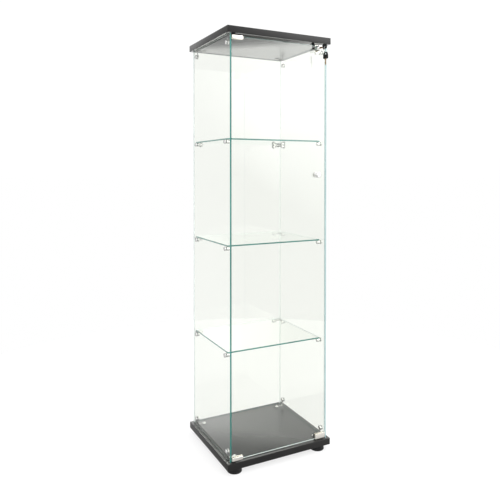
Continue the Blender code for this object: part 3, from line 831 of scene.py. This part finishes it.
# Brightness by how high a direction points, from -1 straight down to 1 straight up. A ramp holds 1 at most,
# so the levels are divided by a strength that brings them back.
BACKDROP_LEVELS = ((-0.02, 1.0), (0.14, 1.05))
ROOM_LEVELS = ((-0.9, 1.0), (-0.15, 1.05), (0.05, 1.0), (0.5, 1.0), (0.95, 0.7))
STUDIO_STRENGTH = 1.5

# Each softbox in metres and watts: where it is, where it points, its width and its power.
SOFTBOXES = {
    "key_softbox": ((-2.4, -2.6, 2.6), (0, 0, 0.9), 2.4, 55.0),
    "top_softbox": ((0.6, -0.4, 3.4), (0, 0, 1.0), 2.8, 50.0),
}
FLOOR_RADIUS = 1.8    # metres

# Where the camera stands in case millimetres, its heading and tilt in degrees, its lens and sensor width in
# millimetres, and its shift as shares of the frame's width.
CAMERA_AT = (-1001.5, -1904.0, 1071.5)
CAMERA_YAW_PITCH = (63.10, -0.795)
CAMERA_LENS, CAMERA_SENSOR = 39.42, 36.0
CAMERA_SHIFT = (0.0005, -0.1456)


def floor_paper():
    """White paper, lit to pure white for the camera, with painted shade that makes it greyer round the base
    for the gloss of the boards.
    """
    shade = Shade("floor_paper")
    shade.feed("Base Color", shade.noise(0.8, 2), [(0.3, 0.22), (0.7, 0.24)])
    shade.set(Roughness=0.95, Emission_Strength=0.75, Emission_Color=(1, 1, 1, 1))
    far = shade.maths("LENGTH", shade.node("TexCoord").outputs["Object"], kind="VectorMath")
    spread = shade.node("MapRange", From_Max=3.0)
    shade.link(far.outputs["Value"], spread.inputs["Value"])
    glow_with_painted_shade = shade.node("Emission")
    # Painted shade: in reflections the floor is darker round the base of the case.
    shade.link(shade.ramp(spread.outputs[0], [(0.09, 0.62), (0.16, 1.0)]), glow_with_painted_shade.inputs["Color"])
    seen = shade.node("LightPath").outputs["Is Camera Ray"]
    shade.finish(shade.mix(seen, glow_with_painted_shade.outputs[0], shade.shader.outputs[0]))
    return shade.owner


def surroundings():
    """White backdrop for the camera, and for all else a white room with brighter and darker patches."""
    world = Tree(bpy.data.worlds.new("studio"), "World Output")
    bpy.context.scene.world = world.owner
    backdrop, room = world.nodes["Background"], world.node("Background")
    toward = world.node("TexCoord").outputs["Generated"]
    split = world.node("SeparateXYZ")
    world.link(toward, split.inputs[0])
    for shader, levels in ((backdrop, BACKDROP_LEVELS), (room, ROOM_LEVELS)):
        spread = world.node("MapRange", From_Min=-1.0)
        world.link(split.outputs["Z"], spread.inputs["Value"])
        stops = [((height + 1) / 2, level / STUDIO_STRENGTH) for height, level in levels]
        world.link(world.ramp(spread.outputs[0], stops), shader.inputs["Color"])
    backdrop.inputs["Strength"].default_value = STUDIO_STRENGTH

    strength = STUDIO_STRENGTH
    for direction, edge, full, level in STUDIO_PATCHES:
        cosine = world.maths("DOT_PRODUCT", toward, direction, kind="VectorMath")
        fade = world.node("MapRange", From_Min=edge, From_Max=full, To_Min=1.0, To_Max=level)
        world.link(cosine.outputs["Value"], fade.inputs["Value"])
        strength = world.maths("MULTIPLY", strength, fade.outputs[0]).outputs[0]
    world.link(strength, room.inputs["Strength"])
    seen = world.node("LightPath").outputs["Is Camera Ray"]
    world.finish(world.mix(seen, room.outputs[0], backdrop.outputs[0]))


def studio():
    """White paper and room, two broad softboxes, and the camera at the front left."""
    scene = bpy.context.scene
    scene.view_settings.view_transform = "Standard"
    scene.cycles.transparent_max_bounces = 40
    surroundings()

    bm = bmesh.new()
    bmesh.ops.create_circle(bm, cap_ends=True, segments=96, radius=FLOOR_RADIUS)
    mesh = bpy.data.meshes.new("floor_sheet")
    bm.to_mesh(mesh)
    bm.free()
    floor = bpy.data.objects.new("floor_sheet", mesh)
    scene.collection.objects.link(floor)
    mesh.materials.append(floor_paper())

    for name, (at, aim, size, power) in SOFTBOXES.items():
        light = bpy.data.lights.new(name, "AREA")
        light.size, light.energy = size, power
        lamp = bpy.data.objects.new(name, light)
        lamp.location = at
        lamp.rotation_euler = (Vector(aim) - Vector(at)).to_track_quat("-Z", "Y").to_euler()
        scene.collection.objects.link(lamp)

    camera = bpy.data.cameras.new("camera")
    camera.sensor_width, camera.lens = CAMERA_SENSOR, CAMERA_LENS
    camera.shift_x, camera.shift_y = CAMERA_SHIFT
    camera.clip_end = 50.0
    eye = bpy.data.objects.new("camera", camera)
    eye.location = place(CAMERA_AT)
    yaw, pitch = (math.radians(a) for a in CAMERA_YAW_PITCH)
    ahead = Vector((math.cos(pitch) * math.cos(yaw), math.cos(pitch) * math.sin(yaw), math.sin(pitch)))
    eye.rotation_euler = ahead.to_track_quat("-Z", "Y").to_euler()
    scene.collection.objects.link(eye)
    scene.camera = eye


studio()
board("top_board", mouth_up=False)
board("base_board", mouth_up=True)
feet()
glass()
connectors()
supports()
hinges()
catch()
knob()
lock()
keys()
